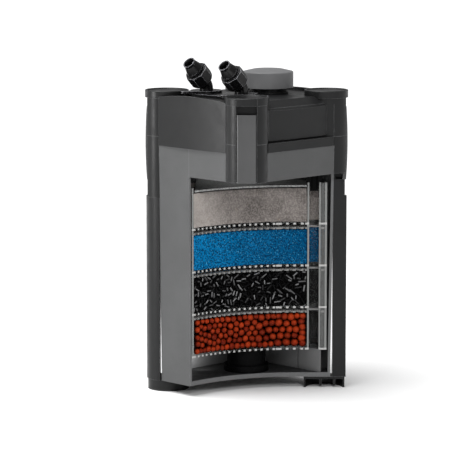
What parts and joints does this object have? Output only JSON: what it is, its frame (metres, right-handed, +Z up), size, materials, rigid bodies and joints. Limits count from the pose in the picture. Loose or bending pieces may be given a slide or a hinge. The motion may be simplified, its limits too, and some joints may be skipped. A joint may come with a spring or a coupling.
{
  "type": "canister filter",
  "caption": "Aquarium canister filter with one corner cut away: square vessel, stacked baskets with media, pump head, four latches, priming knob and hose connectors.",
  "frame": {"origin": "centre of the base, between the four columns, on the level that it stands on", "axes": "+Z up; -Y towards the front panel, on the side that the hose connectors lean to; the cut away corner is at +X, -Y"},
  "size_m": [0.2208, 0.2208, 0.4745],
  "materials": {
    "dark_plastic": "fine textured moulding",
    "vessel_grey": "smooth moulding",
    "lever_grey": "fine textured moulding",
    "black_plastic": "semi gloss",
    "clear_plastic": "clear moulding",
    "blue_foam": "open cell foam",
    "wool": "felted fibre",
    "carbon": "pressed pellets",
    "clay": "fired clay",
    "rubber": "matt",
    "steel": "stainless",
    "ceramic": "polished ceramic",
    "motor_resin": "cast resin",
    "magnet": "coated ferrite"
  },
  "bodies": {
    "canister": {"canister_rim": "dark_plastic", "column_front_right": "dark_plastic", "column_back_right": "dark_plastic", "column_back_left": "dark_plastic", "column_front_left": "dark_plastic", "foot_back_right": "dark_plastic", "foot_back_left": "dark_plastic", "foot_front_left": "dark_plastic", "head_shell": "dark_plastic", "side_panel_right": "dark_plastic", "side_panel_left": "dark_plastic", "front_panel": "dark_plastic", "back_panel": "dark_plastic", "column_caps": "dark_plastic", "primer_collar": "dark_plastic", "volute_cover": "dark_plastic", "pump_plate": "dark_plastic", "vessel": "vessel_grey", "basket_supports": "vessel_grey", "pan_pedestal": "black_plastic", "connector_block": "black_plastic", "elbow_inlet": "black_plastic", "elbow_outlet": "black_plastic", "hose_tail_inlet": "black_plastic", "hose_tail_outlet": "black_plastic", "down_pipe": "black_plastic", "cable_gland": "black_plastic", "basket_1": "clear_plastic", "basket_2": "clear_plastic", "basket_3": "clear_plastic", "basket_4": "clear_plastic", "basket_lids": "clear_plastic", "foam_pad": "blue_foam", "wool_pad": "wool", "carbon_pellets": "carbon", "clay_balls": "clay", "head_gasket": "rubber", "foot_pads": "rubber", "hose_seals": "rubber", "shaft_bushes": "rubber", "latch_pins": "steel", "primer_spring": "steel", "plate_screws": "steel", "rotor_shaft": "ceramic", "motor_pod": "motor_resin"},
    "latch_front_right": {"latch_front_right": "lever_grey"},
    "latch_back_right": {"latch_back_right": "lever_grey"},
    "latch_back_left": {"latch_back_left": "lever_grey"},
    "latch_front_left": {"latch_front_left": "lever_grey"},
    "primer": {"primer_knob": "dark_plastic", "primer_plunger": "dark_plastic"},
    "tap_inlet": {"tap_inlet": "black_plastic"},
    "tap_outlet": {"tap_outlet": "black_plastic"},
    "clamp_inlet": {"clamp_ring_inlet": "black_plastic"},
    "clamp_outlet": {"clamp_ring_outlet": "black_plastic"},
    "nut_inlet": {"hose_nut_inlet": "black_plastic"},
    "nut_outlet": {"hose_nut_outlet": "black_plastic"},
    "rotor": {"rotor_magnet": "magnet", "impeller": "dark_plastic"}
  },
  "joints": [
    {"name": "latch_front_right_pivot", "type": "hinge", "parent": "canister", "child": "latch_front_right", "pos_m": [0.09475, -0.09475, 0.347], "axis": [0.7071, 0.7071, 0], "range_deg": [0, 11]},
    {"name": "latch_back_right_pivot", "type": "hinge", "parent": "canister", "child": "latch_back_right", "pos_m": [0.09475, 0.09475, 0.347], "axis": [-0.7071, 0.7071, 0], "range_deg": [0, 11]},
    {"name": "latch_back_left_pivot", "type": "hinge", "parent": "canister", "child": "latch_back_left", "pos_m": [-0.09475, 0.09475, 0.347], "axis": [-0.7071, -0.7071, 0], "range_deg": [0, 11]},
    {"name": "latch_front_left_pivot", "type": "hinge", "parent": "canister", "child": "latch_front_left", "pos_m": [-0.09475, -0.09475, 0.347], "axis": [0.7071, -0.7071, 0], "range_deg": [0, 11]},
    {"name": "primer_stroke", "type": "slide", "parent": "canister", "child": "primer", "axis": [0, 0, -1], "range_m": [0, 0.0075], "stiffness_N_per_m": 400, "springref_m": -0.008, "deforming": ["primer_spring"]},
    {"name": "tap_inlet_turn", "type": "hinge", "parent": "canister", "child": "tap_inlet", "pos_m": [0.035, -0.045, 0.424], "axis": [0, 0, -1], "range_deg": [0, 50]},
    {"name": "clamp_inlet_travel", "type": "slide", "parent": "canister", "child": "clamp_inlet", "axis": [0, -0.7193, 0.6947], "range_m": [0, 0.006]},
    {"name": "nut_inlet_turn", "type": "hinge", "parent": "clamp_inlet", "child": "nut_inlet", "pos_m": [0.035, -0.045, 0.435], "axis": [0, -0.7193, 0.6947], "range_deg": [0, 1080]},
    {"name": "tap_outlet_turn", "type": "hinge", "parent": "canister", "child": "tap_outlet", "pos_m": [-0.035, -0.045, 0.424], "axis": [0, 0, 1], "range_deg": [0, 50]},
    {"name": "clamp_outlet_travel", "type": "slide", "parent": "canister", "child": "clamp_outlet", "axis": [0, -0.7193, 0.6947], "range_m": [0, 0.006]},
    {"name": "nut_outlet_turn", "type": "hinge", "parent": "clamp_outlet", "child": "nut_outlet", "pos_m": [-0.035, -0.045, 0.435], "axis": [0, -0.7193, 0.6947], "range_deg": [0, 1080]},
    {"name": "rotor_spin", "type": "hinge", "parent": "canister", "child": "rotor", "pos_m": [-0.045, 0.01, 0.38], "axis": [0, 0, 1], "continuous": true}
  ],
  "couplings": [
    {"joint": "nut_inlet_turn", "follows": "clamp_inlet_travel", "rad_per_m": 3141},
    {"joint": "nut_outlet_turn", "follows": "clamp_outlet_travel", "rad_per_m": 3141}
  ]
}
